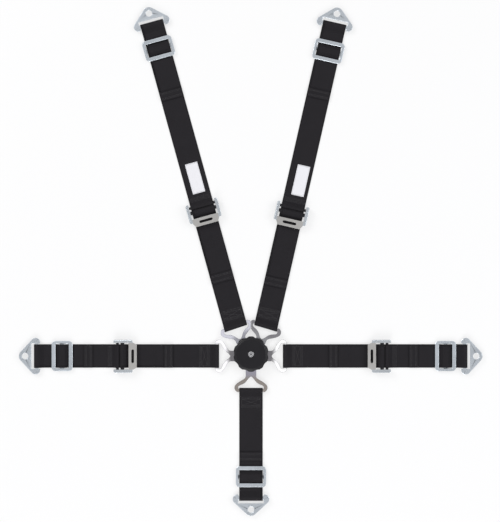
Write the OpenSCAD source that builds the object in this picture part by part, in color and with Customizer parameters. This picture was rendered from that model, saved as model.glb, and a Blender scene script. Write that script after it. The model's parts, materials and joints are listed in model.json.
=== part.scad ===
// Five-point racing harness with a rotary cam-lock buckle, laid out flat with its back down.
// The origin is on the buckle's axis at its back face. +Y runs toward the shoulder belts, +Z is up.
// Every belt has its own frame: s runs outward from the middle of its tongue's web bar.

/* [Webbing] */
// Width of every belt
web_w = 50; // [44:0.5:62]
// Thickness of one layer of webbing
web_t = 1.3; // [1:0.05:1.6]
// Free length of a sewn hem at a belt's loose end
hem_len = 20; // [12:1:24]
// Slope at which a belt leaves a bar that it is folded round, in degrees
fold_slope = 35; // [30:1:40]
// Gap between webbing and the hardware it wraps
web_gap = 0.3; // [0.2:0.05:0.5]

/* [Belt directions] */
// Lean of the left shoulder belt away from +Y, in degrees
left_shoulder_lean = 15.45; // [9:0.05:20]
// Lean of the right shoulder belt away from +Y, in degrees
right_shoulder_lean = 12.8; // [9:0.05:20]
// Lean of the left shoulder tongue away from +Y, in degrees
left_tongue_lean = 21; // [18:0.1:24]
// Lean of the right shoulder tongue away from +Y, in degrees
right_tongue_lean = 19.5; // [18:0.1:24]

/* [Shoulder belts] */
// Distance from the tongue bar to the lock bar of the left shoulder adjuster
left_shoulder_reach = 256.7; // [200:0.5:310]
// Distance from the tongue bar to the lock bar of the right shoulder adjuster
right_shoulder_reach = 247.8; // [200:0.5:310]
// Length of the left shoulder belt's loose inner end, from the lock bar
left_shoulder_tail = 157.5; // [80:0.5:190]
// Length of the right shoulder belt's loose inner end, from the lock bar
right_shoulder_tail = 161.5; // [80:0.5:190]
// Length from the lock bar to the end plate's bar, left shoulder belt
left_shoulder_outer = 410.2; // [300:0.1:500]
// Length from the lock bar to the end plate's bar, right shoulder belt
right_shoulder_outer = 409.7; // [300:0.1:500]
// Length of the outer loose end past the end plate's bar, left shoulder belt
left_shoulder_return = 163.2; // [110:0.1:200]
// Length of the outer loose end past the end plate's bar, right shoulder belt
right_shoulder_return = 159.6; // [110:0.1:200]
// Distance from the end plate's bar back to the slide, left shoulder belt
left_shoulder_slide = 52.5; // [42:0.1:60]
// Distance from the end plate's bar back to the slide, right shoulder belt
right_shoulder_slide = 56.5; // [42:0.1:60]

/* [Lap belts] */
// Distance from the tongue bar to the lock bar of the left lap adjuster
left_lap_reach = 201; // [180:0.5:250]
// Distance from the tongue bar to the lock bar of the right lap adjuster
right_lap_reach = 206.4; // [180:0.1:250]
// Length of the left lap belt's loose inner end, from the lock bar
left_lap_tail = 107.4; // [70:0.1:115]
// Length of the right lap belt's loose inner end, from the lock bar
right_lap_tail = 112.8; // [70:0.1:118]
// Length from the lock bar to the end plate's bar, left lap belt
left_lap_outer = 182.5; // [160:0.1:300]
// Length from the lock bar to the end plate's bar, right lap belt
right_lap_outer = 175.9; // [160:0.1:300]
// Length of the outer loose end past the end plate's bar, left lap belt
left_lap_return = 118.9; // [90:0.1:120]
// Length of the outer loose end past the end plate's bar, right lap belt
right_lap_return = 117.9; // [90:0.1:120]
// Distance from the end plate's bar back to the slide, left lap belt
left_lap_slide = 53.9; // [40:0.1:60]
// Distance from the end plate's bar back to the slide, right lap belt
right_lap_slide = 40.6; // [40:0.1:60]

/* [Crotch belt] */
// Length from the tongue bar to the end plate's bar
crotch_len = 229.6; // [200:0.1:320]
// Length of the loose end past the end plate's bar
crotch_return = 97.4; // [90:0.1:130]
// Distance from the end plate's bar back to the slide
crotch_slide = 45.2; // [40:0.1:60]

/* [Buckle] */
// Radius of the rotary knob over its lobes
knob_r = 37.5; // [36:0.5:45]
// Number of grip lobes round the knob
knob_lobes = 10; // [6:1:14]
// Depth of the scallops between the lobes
scallop_depth = 2.2; // [0.8:0.1:3]
// Radius of the buckle body under the knob
body_r = 34; // [33:0.5:35]
// Radius of the circle that the lock pins stand on
pin_circle_r = 20; // [19.5:0.1:21]
// Radius of a lock pin
pin_r = 3; // [2.5:0.1:3.2]
// Angle between each shoulder pin and +Y, in degrees
shoulder_pin_angle = 51; // [48:0.5:52]
// Distance of the lap belts' line below the buckle's axis
lap_drop = 5; // [3:0.5:7]
// Radius of the post that the knob turns on
post_r = 5; // [4:0.1:5.5]
// Knob turn between locked and released, in degrees
knob_turn_angle = 30; // [25:1:32]
// Thickness of the plate that guides the lock pins
pin_plate_t = 2.7; // [2:0.1:4]
// Running clearance of shafts in their holes, on the radius
run_gap = 0.05; // [0.02:0.01:0.09]

/* [Tongues] */
// Distance from a shoulder tongue's pin hole to its web bar, beyond half the belt's width
shoulder_tongue_reach = 24; // [23:0.1:30]
// Distance from a lap tongue's pin hole to its web bar, beyond half the belt's width
lap_tongue_reach = 28.5; // [27:0.1:34]
// Distance from the crotch tongue's pin hole to its web bar, beyond half the belt's width
crotch_tongue_reach = 32.7; // [27:0.1:36]
// Thickness of a tongue
tongue_t = 2.5; // [2:0.1:3]
// Width of the tongue's web bar
tongue_bar_w = 6.5; // [5:0.1:8]
// Half width of the tip that enters the buckle
tip_half = 7; // [6.5:0.1:7.2]
// Half width of the shank outside the buckle
shank_half = 11.2; // [9:0.1:12]
// Radius of the rounded lobe at each end of the web bar
tongue_lobe_r = 9.8; // [9:0.1:10]
// Side play of a tongue in its slot
slot_gap = 0.3; // [0.2:0.05:0.5]

/* [Adjusters] */
// Radius of the knurled lock bar
lock_r = 4; // [3:0.1:5]
// Radius of the lock bar's journals
journal_r = 2.5; // [2:0.1:2.8]
// Radius of the cross pin that holds the outer webbing
cross_r = 3; // [2.5:0.1:3.5]
// Thickness of the adjuster's sheet steel
sheet_t = 2; // [1.5:0.1:2.5]
// Gap between a belt's edge and the adjuster's side wall
wall_gap = 3.5; // [2:0.1:5]
// Length of the lever plate along the belt
lever_len = 17.5; // [15:0.5:24]
// Length of the finger slot in the lever plate
lever_slot_len = 29; // [20:0.5:34]
// Width of the finger slot
lever_slot_w = 5.5; // [4.5:0.1:7]
// Reach of the side walls toward the buckle, from the lock bar
wall_in = 22; // [20:0.5:25]
// Reach of the side walls toward the end plate, from the lock bar
wall_out = 18.5; // [17:0.5:22]

/* [Slides and end plates] */
// Length of a slide along the belt
slide_len = 45; // [42:0.5:48]
// Width of each outer bar of a slide
slide_bar = 8.5; // [8:0.1:10]
// Width of the slide's middle bar
slide_mid = 7; // [6:0.1:8]
// Width of each side bar of a slide
slide_side = 6.2; // [5:0.1:8]
// Thickness of slides and end plates
plate_t = 3; // [2.5:0.1:3.5]
// Radius of the end plate's bolt hole, for a 1/2 inch bolt
bolt_hole_r = 6.75; // [5:0.05:7]
// Width of metal round the bolt hole
bolt_land = 6.75; // [5:0.05:9]
// Distance from the end plate's web bar to its bolt hole
bolt_reach = 24.4; // [24:0.1:30]
// Width of the end plate's web bar
end_bar_w = 8; // [6:0.1:9]
// Radius of the end plate's two rounded lobes
end_lobe_r = 10; // [9:0.1:12]
// Width of the end plate's web slot along the belt
end_slot_w = 7.4; // [7:0.1:9]

/* [Labels] */
// Length of a sewn label along the belt
label_len = 66; // [50:1:72]
// Width of a sewn label
label_w = 27; // [20:1:40]
// Gap between the outer webbing's sewn end and the label
label_gap = 3.4; // [1:0.1:20]
// Distance of the left shoulder label's middle from the belt's middle line
left_label_shift = 1.2; // [-4:0.1:4]
// Distance of the right shoulder label's middle from the belt's middle line
right_label_shift = 3.7; // [-4:0.1:4]

/* [Hidden] */
$fn = 64;

// Belt numbers, used as indices in the lists below
LS = 0;
RS = 1;
LL = 2;
RL = 3;
CR = 4;
eps = 0.05;
web_black = [0.17, 0.16, 0.18];
zinc = [0.78, 0.8, 0.83];
bright = [0.85, 0.85, 0.86];
steel = [0.74, 0.73, 0.7];
knob_black = [0.14, 0.14, 0.16];

// Heading of each belt and of each tongue, counted from +X
belt_head = [90 + left_shoulder_lean, 90 - right_shoulder_lean, 180, 0, 270];
tongue_head = [90 + left_tongue_lean, 90 - right_tongue_lean, 180, 0, 270];
lap_pin_angle = asin(lap_drop / pin_circle_r);
pin_angle = [90 + shoulder_pin_angle, 90 - shoulder_pin_angle, 180 + lap_pin_angle, -lap_pin_angle, 270];

// Distance from each tongue's pin hole to the middle of its web bar; a wider belt needs a longer fork
tongue_len = [for (q = [shoulder_tongue_reach, shoulder_tongue_reach, lap_tongue_reach, lap_tongue_reach,
    crotch_tongue_reach]) q + web_w / 2];

// Stations along each belt, counted from the middle of the tongue's web bar
lock_s = [left_shoulder_reach, right_shoulder_reach, left_lap_reach, right_lap_reach];
tail_s = [lock_s[LS] - left_shoulder_tail, lock_s[RS] - right_shoulder_tail,
    lock_s[LL] - left_lap_tail, lock_s[RL] - right_lap_tail];
end_s = [lock_s[LS] + left_shoulder_outer, lock_s[RS] + right_shoulder_outer,
    lock_s[LL] + left_lap_outer, lock_s[RL] + right_lap_outer, crotch_len];
return_s = [end_s[LS] - left_shoulder_return, end_s[RS] - right_shoulder_return,
    end_s[LL] - left_lap_return, end_s[RL] - right_lap_return, end_s[CR] - crotch_return];
slide_s = [end_s[LS] - left_shoulder_slide, end_s[RS] - right_shoulder_slide,
    end_s[LL] - left_lap_slide, end_s[RL] - right_lap_slide, end_s[CR] - crotch_slide];

// Height of the middle of a loose end that lies over a moving layer
tail_z = 1.5 * web_t + web_gap;

// The tongue's flat bar turns freely inside its loop
tongue_loop_r = sqrt(pow(tongue_bar_w / 2, 2) + pow(tongue_t / 2, 2)) + web_gap + web_t / 2;
tongue_z = tongue_loop_r + web_t / 2;
tongue_z0 = tongue_z - tongue_t / 2;
tongue_z1 = tongue_z + tongue_t / 2;
sewn_len = 38;

// Lock bar with the webbing round it, then the cross pin with its own loop
wrap_r = lock_r + 0.2 + web_t / 2;
lock_z = wrap_r + web_t / 2;
cross_loop_r = cross_r + web_gap + web_t / 2;
cross_z = cross_loop_r + web_t / 2;
cross_off = wrap_r + cross_loop_r + web_t + 0.5;
cross_sewn = 20;

// The end plate's flat bar turns freely inside the end loop
end_loop_r = sqrt(pow(end_bar_w / 2, 2) + pow(plate_t / 2, 2)) + web_gap + web_t / 2;
end_z = end_loop_r + web_t / 2;

// The slide lies over both layers; its middle bar lies under them
slide_z = 2 * web_t + 0.4;
slide_w = web_w + 2 + 2 * slide_side;
slide_window = slide_len / 2 - slide_bar - slide_mid / 2;
climb = slide_z + plate_t + 0.25;
climb_run = climb / tan(40);
climb_mid = slide_mid / 2 + slide_window / 2;

// Buckle levels
slot_z = tongue_z0 - slot_gap;
body_h = tongue_z1 + slot_gap;
pin_plate_z1 = body_h + pin_plate_t;
pin_lift = tongue_t + 0.9;
cam_z0 = pin_plate_z1 + 0.3;
cam_floor = cam_z0 + 0.8;
toe_z0 = cam_floor + 0.3 + pin_lift;
toe_z1 = toe_z0 + 1.4;
knob_z0 = pin_plate_z1 + 0.6;
knob_ceiling = toe_z1 + 4.5;
knob_top = knob_ceiling + 2.6;
knob_dish = 0.8;
post_top = knob_top - knob_dish + 0.1;
hub_r = post_r + 2;
toe_in = 12;
cam_out = 16;
knob_cavity_r = knob_r - 6.5;
tip_len = 7;
web_side = web_w / 2 + 2.2;
screw_spots = [[26, 90], [27, 15], [27, 165], [27, 232], [27, 308]];

// Adjuster frame
wall_y = web_w / 2 + wall_gap;
lever_z = lock_z + wrap_r + web_t / 2 - 1.8;
lever_gap = wrap_r + web_t / 2 + 8;
wing_out = 4.5;
wing_lip = 2.4;

// Plain 2D helpers
function polar(r, a) = [r * cos(a), r * sin(a)];
function unit(v) = v / norm(v);
function left_of(v) = [-v[1], v[0]];
function miter(p, i) = i == 0 ? left_of(unit(p[1] - p[0]))
    : i == len(p) - 1 ? left_of(unit(p[i] - p[i - 1]))
    : let(a = left_of(unit(p[i] - p[i - 1])), b = left_of(unit(p[i + 1] - p[i])), m = unit(a + b))
        m / (m * a);
function beside(p, d) = [for (i = [0:len(p) - 1]) p[i] + d * miter(p, i)];
function flipped(p) = [for (i = [len(p) - 1:-1:0]) p[i]];
function mirrored(p) = [for (q = flipped(p)) [q[0], -q[1]]];
function arc(c, r, a0, a1, n = 24) = [for (i = [0:n]) c + polar(r, a0 + (a1 - a0) * i / n)];
function bezier(a, b, c, d, n = 14) = [for (i = [1:n]) let(t = i / n, u = 1 - t)
    u * u * u * a + 3 * u * u * t * b + 3 * u * t * t * c + t * t * t * d];
function pin_at(i) = polar(pin_circle_r, pin_angle[i]);
function bar_at(i) = pin_at(i) + polar(tongue_len[i], tongue_head[i]);

// Outside of a loop round a bar's near side, from under the bar to where it meets height z beyond it
function near_outside(c, r, z) = let(q = r + web_t / 2, top = c + polar(q, 90 - fold_slope))
    concat(arc(c, q, 270, 90 - fold_slope, 40), [[top[0] + (top[1] - z) / tan(fold_slope), z]]);
// Inside of the same loop, closed by the top of the layer under it
function near_inside(c, r) = let(q = r - web_t / 2, top = c + polar(q, 90 - fold_slope))
    concat(arc(c, q, 270, 90 - fold_slope, 40), [[top[0] + (top[1] - web_t) / tan(fold_slope), web_t]]);
// The same loops turned round to a bar's far side
function far_side(p, s) = [for (q = p) [2 * s - q[0], q[1]]];
// Path of a single layer round a bar's far side, sloping down to level z as far as station to
function far_wrap(c, r, z, to) = let(top = c + polar(r, 90 + fold_slope))
    concat(arc(c, r, -90, 90 + fold_slope, 40), [[top[0] - (top[1] - z) / tan(fold_slope), z], [to, z]]);
// Middle of the doubled webbing on its way over the slide's middle bar
function over_slide(s) = [
    [s - climb_mid - climb_run / 2, web_t], [s - climb_mid + climb_run / 2, web_t + climb],
    [s + climb_mid - climb_run / 2, web_t + climb], [s + climb_mid + climb_run / 2, web_t]
];

module in_belt(i) {
    translate([bar_at(i)[0], bar_at(i)[1], 0]) rotate(belt_head[i]) children();
}

module at_pin(i) {
    translate([pin_at(i)[0], pin_at(i)[1], 0]) children();
}

module in_tongue(i) {
    at_pin(i) rotate(tongue_head[i]) children();
}

// A belt's side view drawn across its width
module across(w) {
    translate([0, w / 2, 0]) rotate([90, 0, 0]) linear_extrude(w) children();
}

module strip(path, t = web_t) {
    polygon(concat(beside(path, t / 2), flipped(beside(path, -t / 2))));
}

// Coil spring with its axis along Z, swept as one closed solid
module coil(r, wire, z0, z1, turns, steps = 10, sides = 6) {
    n = turns * steps;
    pts = [for (i = [0:n], j = [0:sides - 1]) let(a = 360 * i / steps, b = 360 * j / sides,
        q = r + wire / 2 * cos(b)) [q * cos(a), q * sin(a), z0 + (z1 - z0) * i / n + wire / 2 * sin(b)]];
    walls = [for (i = [0:n - 1], j = [0:sides - 1]) let(k = (j + 1) % sides)
        [i * sides + j, (i + 1) * sides + j, (i + 1) * sides + k, i * sides + k]];
    caps = [[for (j = [0:sides - 1]) j], [for (j = [sides - 1:-1:0]) n * sides + j]];
    polyhedron(pts, concat(walls, caps));
}

// ---- Buckle ----

// Half outline of a tongue's slot, which keeps clear of the tongue all round
function slot_half() = let(q = 0.5 * slot_gap, g = slot_gap) [[-tip_len - g, tip_half + g],
    [9 - q, tip_half + g], [9 - q + shank_half - tip_half, shank_half + g], [60, shank_half + g]];

module slot_cut(i) {
    in_tongue(i) translate([0, 0, slot_z]) linear_extrude(body_h)
        polygon(concat(slot_half(), mirrored(slot_half())));
}

module base_body() {
    color(knob_black) {
        difference() {
            cylinder(r = body_r, h = body_h);
            for (i = [LS:CR]) slot_cut(i);
            for (i = [LS:CR]) at_pin(i) translate([0, 0, slot_z - 0.8]) cylinder(r = pin_r + 0.1, h = 2);
            for (q = screw_spots) rotate(q[1]) translate([q[0], 0, -1]) cylinder(r = 1.6, h = 30);
            for (q = screw_spots) rotate(q[1]) translate([q[0], 0, 0]) screw_sink(0);
        }
        difference() {
            translate([0, 0, 1]) cylinder(r = post_r, h = post_top - 1);
            translate([0, 0, post_top - 9]) cylinder(r = 2, h = 10);
        }
    }
}

// Countersink of a rear screw, or with a gap the head that fills it
module screw_sink(gap) {
    rotate_extrude() polygon([[0, gap], [2.9 - gap, gap], [2.9 - gap, 0.3], [1.5, 1.7], [0, 1.7]]);
}

module pin_plate() {
    color(steel) difference() {
        translate([0, 0, body_h]) cylinder(r = body_r - 0.5, h = pin_plate_t);
        translate([0, 0, body_h - 1]) cylinder(r = post_r + 0.1, h = 10);
        for (i = [LS:CR]) at_pin(i) translate([0, 0, body_h - 1]) cylinder(r = pin_r + run_gap, h = 10);
        for (q = screw_spots) rotate(q[1]) translate([q[0], 0, body_h - 1])
            cylinder(r = 1.55, h = pin_plate_t + 0.2);
    }
}

module rear_screws() {
    color(steel) for (q = screw_spots) rotate(q[1]) translate([q[0], 0, 0]) {
        screw_sink(0.1);
        translate([0, 0, 1]) cylinder(r = 1.5, h = body_h + pin_plate_t - 2.2);
    }
}

module lock_pins() {
    color(bright) for (i = [LS:CR]) rotate(pin_angle[i]) {
        translate([pin_circle_r, 0, tongue_z1 + 0.4]) cylinder(r = pin_r, h = toe_z1 - tongue_z1 - 0.4);
        translate([pin_circle_r, 0, toe_z0]) cylinder(r = pin_r + 1.2, h = toe_z1 - toe_z0);
        translate([toe_in, -1.5, toe_z0]) cube([pin_circle_r - toe_in, 3, toe_z1 - toe_z0]);
        translate([pin_circle_r, 0, toe_z0]) cylinder(r = pin_r - 1.1, h = toe_z1 - toe_z0 + 2);
    }
}

module pin_springs() {
    color(zinc) for (i = [LS:CR]) rotate(pin_angle[i]) translate([pin_circle_r, 0, 0])
        coil(pin_r - 0.1, 0.9, toe_z1 + 0.5, knob_ceiling - 0.5, 4);
}

// Side view of a ramp: its high end holds a pin's toe up, and the knob's turn lets the toe down it
module cam_ramp() {
    polygon([[-3, cam_z0 + 0.3], [-3, toe_z0 - 0.3], [-1.5, toe_z0 - 0.3],
        [5 + 1.95 / pin_lift, cam_floor - 0.3], [5 + 1.95 / pin_lift, cam_z0 + 0.3]]);
}

module cam_ring() {
    color(bright) difference() {
        union() {
            translate([0, 0, cam_z0]) cylinder(r = cam_out, h = cam_floor - cam_z0);
            for (i = [LS:CR]) rotate(pin_angle[i]) translate([cam_out - 1.2, 0, 0]) rotate([90, 0, -90])
                linear_extrude(cam_out - 1.2 - toe_in + 0.4) cam_ramp();
        }
        translate([0, 0, cam_z0 - 1]) cylinder(r = hub_r, h = 20);
    }
}

module knob() {
    color(knob_black) difference() {
        rotate_extrude($fn = 120) polygon([
            [post_r + run_gap, cam_z0], [hub_r, cam_z0], [hub_r, knob_ceiling], [knob_cavity_r, knob_ceiling],
            [knob_cavity_r, knob_z0], [knob_r, knob_z0], [knob_r, knob_top - 4.4],
            [knob_r - 0.5, knob_top - 3],
            [knob_r - 2, knob_top - 1.6], [knob_r - 5, knob_top - 0.7], [knob_r - 5.6, knob_top - 0.6],
            [knob_r - 6, knob_top - 0.1], [knob_r - 6.6, knob_top], [post_r + 2.4, knob_top],
            [post_r + 2, knob_top - knob_dish], [post_r + run_gap, knob_top - knob_dish]
        ]);
        for (k = [0:knob_lobes - 1]) rotate(90 + (k + 0.5) * 360 / knob_lobes)
            translate([knob_r + 16 - scallop_depth, 0, knob_z0 - 1]) cylinder(r = 16, h = 40);
    }
}

module return_spring() {
    color(zinc) coil(hub_r + 1.4, 1.2, cam_floor + 0.7, knob_ceiling - 0.7, 4, 14);
}

module knob_washer() {
    color(bright) translate([0, 0, post_top]) difference() {
        cylinder(r = post_r + 1, h = 0.9);
        translate([0, 0, -1]) cylinder(r = 2.05, h = 4);
    }
}

module centre_screw() {
    color(bright) difference() {
        union() {
            translate([0, 0, post_top + 0.9]) cylinder(r = 3.4, h = 1.4);
            translate([0, 0, post_top - 8]) cylinder(r = 1.95, h = 9.5);
        }
        translate([0, 0, post_top + 1.2]) cylinder(r = 1.7, h = 4, $fn = 6);
    }
}

// ---- Tongues ----

// Outline of one half of a tongue, from its tip along the curved arm and round the lobe to the web bar
function tongue_half(k) = let(lobe = [k - 5.2, web_side - 1.8]) concat(
    [[-tip_len, 0]], arc([-tip_len + 3, tip_half - 3], 3, 180, 90, 6),
    [[9, tip_half], [9 + shank_half - tip_half, shank_half], [k - 30, shank_half]],
    bezier([k - 30, shank_half], [k - 22.5, shank_half + 0.2], [k - 22, web_side - 5.2],
        lobe + polar(tongue_lobe_r, 145)),
    arc(lobe, tongue_lobe_r, 142, 7, 20),
    [[k + tongue_bar_w / 2, web_side - 0.8], [k + tongue_bar_w / 2, 0]]);

// Half of the bell-shaped opening that the webbing's loop sits in
function tongue_window(k) = let(b = k - tongue_bar_w / 2, y = web_side)
    concat([[k - 28.7, 0], [k - 28.5, 1.2]],
    bezier([k - 28, 2], [k - 24, 7.5], [k - 17.5, 8.5], [k - 12.9, y - 9.8]),
    [[k - 11.2, y - 5.7], [k - 9.9, y - 2.6], [k - 8.6, y - 0.7], [k - 7.4, y], [b, y], [b, 0]]);

// Room of each tongue: the two shoulder tongues meet at the buckle's middle line
module tongue_room(i) {
    if (i == LS) translate([-200.4, -200, -1]) cube([200, 400, 9]);
    if (i == RS) translate([0.4, -200, -1]) cube([200, 400, 9]);
    if (i > RS) translate([-200, -200, -1]) cube([400, 400, 9]);
}

module tongue(i, tint = bright) {
    color(tint) intersection() {
        in_tongue(i) translate([0, 0, tongue_z0]) difference() {
            linear_extrude(tongue_t) difference() {
                polygon(concat(tongue_half(tongue_len[i]), mirrored(tongue_half(tongue_len[i]))));
                polygon(concat(tongue_window(tongue_len[i]), mirrored(tongue_window(tongue_len[i]))));
            }
            translate([0, 0, -1]) cylinder(r = pin_r + 0.6, h = 10);
        }
        tongue_room(i);
    }
}

// ---- Webbing ----

// Top of the belt where the sewn end stops and one layer goes on
function step_down(s) = [[s, 2 * web_t], [s + 4, web_t]];
// Top of the belt from its hemmed loose end, over the slide, to the end loop's join
function end_top(i) = concat([[return_s[i], web_t], [return_s[i], 3 * web_t],
    [return_s[i] + hem_len, 3 * web_t], [return_s[i] + hem_len, 2 * web_t]],
    beside(over_slide(slide_s[i]), web_t));
// Bottom of the belt under the slide, from the end loop back
function end_bottom(i) = flipped(beside(over_slide(slide_s[i]), -web_t));
function end_centre(i) = [end_s[i], end_z];
// Outside of the end loop, from its top layer round to its bottom one
function end_top_loop(i) = flipped(far_side(near_outside(end_centre(i), end_loop_r, 2 * web_t), end_s[i]));

// Tongue loop and single layer in one piece: the fold follows the tongue's bar, the edges follow the belt
module inner_webbing(i) {
    c = [0, tongue_z];
    color(web_black) in_belt(i) intersection() {
        rotate(tongue_head[i] - belt_head[i]) across(web_w + lock_s[i]) difference() {
            polygon(concat(near_outside(c, tongue_loop_r, 2 * web_t), step_down(sewn_len),
                [[lock_s[i] + 60, web_t], [lock_s[i] + 60, 0]]));
            polygon(near_inside(c, tongue_loop_r));
        }
        translate([-20, -web_w / 2, -1]) cube([20 + lock_s[i] - 0.3, web_w, 30]);
    }
}

// Wrap round the lock bar and the loose end lying back over the belt
module tail_webbing(i) {
    color(web_black) in_belt(i) across(web_w) {
        strip(far_wrap([lock_s[i], lock_z], wrap_r, tail_z, tail_s[i]));
        strip([[tail_s[i], tail_z + web_t - eps], [tail_s[i] + hem_len, tail_z + web_t - eps]]);
    }
}

module outer_webbing(i) {
    c = [lock_s[i] + cross_off, cross_z];
    color(web_black) in_belt(i) across(web_w) difference() {
        polygon(concat(near_outside(c, cross_loop_r, 2 * web_t), step_down(c[0] + cross_sewn), end_top(i),
            end_top_loop(i), end_bottom(i)));
        polygon(near_inside(c, cross_loop_r));
        polygon(far_side(near_inside(end_centre(i), end_loop_r), end_s[i]));
    }
}

module crotch_webbing() {
    c = [0, tongue_z];
    color(web_black) in_belt(CR) across(web_w) difference() {
        polygon(concat(near_outside(c, tongue_loop_r, 2 * web_t), step_down(sewn_len), end_top(CR),
            end_top_loop(CR), end_bottom(CR)));
        polygon(near_inside(c, tongue_loop_r));
        polygon(far_side(near_inside(end_centre(CR), end_loop_r), end_s[CR]));
    }
}

module label(i) {
    shift = i == LS ? left_label_shift : right_label_shift;
    color("white") in_belt(i)
        translate([lock_s[i] + cross_off + cross_sewn + 4 + label_gap, -label_w / 2 - shift, web_t])
            cube([label_len, label_w, 0.6]);
}

// ---- Adjusters ----

module frame_side() {
    // Upright wall with the lock bar's and the cross pin's holes
    difference() {
        translate([0, wall_y + sheet_t, 0]) rotate([90, 0, 0]) linear_extrude(sheet_t) polygon([
            [-wall_in, lever_z], [-wall_in + 9, 1], [-wall_in + 10.5, 0.3], [wall_out - 3, 0.3],
            [wall_out, 3],
            [wall_out, lever_z + sheet_t], [-wall_in, lever_z + sheet_t]
        ]);
        translate([0, 0, lock_z]) rotate([-90, 0, 0]) cylinder(r = journal_r + run_gap, h = 100);
        translate([cross_off, 0, cross_z]) rotate([-90, 0, 0]) cylinder(r = cross_r + 0.02, h = 100);
    }
    // Flange turned outward at the top, with its lip
    translate([0, 0, lever_z]) linear_extrude(sheet_t) polygon([
        [-wall_in, wall_y + 0.5], [wall_out, wall_y + 0.5], [wall_out, wall_y + wing_out],
        [wall_out - 2, wall_y + sheet_t + wing_out], [-wall_in + 2, wall_y + sheet_t + wing_out],
        [-wall_in, wall_y + wing_out]
    ]);
    translate([-wall_in + 2, wall_y + wing_out + 0.4, lever_z])
        cube([wall_in + wall_out - 4, sheet_t - 0.4, sheet_t + wing_lip]);
}

module adjuster_frame(i) {
    color(steel) in_belt(i) translate([lock_s[i], 0, 0]) {
        frame_side();
        mirror([0, 1, 0]) frame_side();
        // Lever plate with its chamfered tip and its finger slot
        translate([0, 0, lever_z]) linear_extrude(sheet_t) difference() {
            polygon([
                [-lever_gap, -wall_y - 1], [-lever_gap, wall_y + 1], [-wall_in, wall_y + 1],
                [-lever_gap - lever_len, web_w / 2 - 1], [-lever_gap - lever_len, 1 - web_w / 2],
                [-wall_in, -wall_y - 1]
            ]);
            translate([-lever_gap - lever_len / 2, 0]) {
                square([lever_slot_w, lever_slot_len - lever_slot_w], center = true);
                for (k = [-1, 1]) translate([0, k * (lever_slot_len - lever_slot_w) / 2])
                    circle(r = lever_slot_w / 2);
            }
        }
    }
}

module lock_bar(i) {
    color(steel) in_belt(i) translate([lock_s[i], 0, lock_z]) rotate([90, 0, 0]) {
        cylinder(r = lock_r, h = 2 * wall_y - 1, center = true);
        cylinder(r = journal_r, h = 2 * (wall_y + sheet_t + 0.5), center = true);
    }
}

module cross_pin(i) {
    color(zinc) in_belt(i) translate([lock_s[i] + cross_off, 0, cross_z]) rotate([90, 0, 0]) {
        cylinder(r = cross_r, h = 2 * (wall_y + sheet_t + 1), center = true);
    }
}

// ---- Slides and end plates ----

module rounded_plate(l, w, r) {
    square([l - 2 * r, w], center = true);
    square([l, w - 2 * r], center = true);
    for (a = [-1, 1], b = [-1, 1]) translate([a * (l / 2 - r), b * (w / 2 - r)]) circle(r = r);
}

module slide(i) {
    color(zinc) in_belt(i) translate([slide_s[i], 0, slide_z]) linear_extrude(plate_t) difference() {
        rounded_plate(slide_len, slide_w, 8.5);
        for (k = [-1, 1]) translate([k * climb_mid, 0])
            rounded_plate(slide_window, slide_w - 2 * slide_side, 2);
    }
}

// Half of an end plate's outline: the eye round the bolt hole, a straight flank, a lobe, the web bar
function end_half() = let(q = bolt_hole_r + bolt_land, eye = [bolt_reach, 0],
    lobe = [end_lobe_r - 7.6, web_side + 1.8], d = lobe - eye,
    b = atan2(d[1], d[0]) - acos((q - end_lobe_r) / norm(d)),
    low = 180 + asin((lobe[1] - web_side) / end_lobe_r))
    concat([[bolt_reach + q, 0]], arc(eye, q, 4, b, 16), arc(lobe, end_lobe_r, b, low, 24),
        [[-end_bar_w / 2, web_side], [-end_bar_w / 2, 0]]);

module end_plate(i) {
    color(zinc) in_belt(i) translate([end_s[i], 0, end_z - plate_t / 2]) difference() {
        linear_extrude(plate_t) difference() {
            polygon(concat(end_half(), mirrored(end_half())));
            translate([end_bar_w / 2, -web_side]) square([end_slot_w, 2 * web_side]);
        }
        translate([bolt_reach, 0, -1]) cylinder(r = bolt_hole_r, h = 10);
    }
}

base_body();
pin_plate();
cam_ring();
lock_pins();
pin_springs();
knob();
return_spring();
knob_washer();
centre_screw();
rear_screws();
tongue(LS);  // left_shoulder_tongue
tongue(RS);  // right_shoulder_tongue
tongue(LL);  // left_lap_tongue
tongue(RL);  // right_lap_tongue
tongue(CR);  // crotch_tongue
inner_webbing(LS);  // left_shoulder_inner_webbing
inner_webbing(RS);  // right_shoulder_inner_webbing
inner_webbing(LL);  // left_lap_inner_webbing
inner_webbing(RL);  // right_lap_inner_webbing
tail_webbing(LS);  // left_shoulder_tail_webbing
tail_webbing(RS);  // right_shoulder_tail_webbing
tail_webbing(LL);  // left_lap_tail_webbing
tail_webbing(RL);  // right_lap_tail_webbing
adjuster_frame(LS);  // left_shoulder_adjuster_frame
adjuster_frame(RS);  // right_shoulder_adjuster_frame
adjuster_frame(LL);  // left_lap_adjuster_frame
adjuster_frame(RL);  // right_lap_adjuster_frame
lock_bar(LS);  // left_shoulder_lock_bar
lock_bar(RS);  // right_shoulder_lock_bar
lock_bar(LL);  // left_lap_lock_bar
lock_bar(RL);  // right_lap_lock_bar
cross_pin(LS);  // left_shoulder_cross_pin
cross_pin(RS);  // right_shoulder_cross_pin
cross_pin(LL);  // left_lap_cross_pin
cross_pin(RL);  // right_lap_cross_pin
outer_webbing(LS);  // left_shoulder_outer_webbing
outer_webbing(RS);  // right_shoulder_outer_webbing
outer_webbing(LL);  // left_lap_outer_webbing
outer_webbing(RL);  // right_lap_outer_webbing
crotch_webbing();
slide(LS);  // left_shoulder_slide
slide(RS);  // right_shoulder_slide
slide(LL);  // left_lap_slide
slide(RL);  // right_lap_slide
slide(CR);  // crotch_slide
end_plate(LS);  // left_shoulder_end_plate
end_plate(RS);  // right_shoulder_end_plate
end_plate(LL);  // left_lap_end_plate
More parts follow.
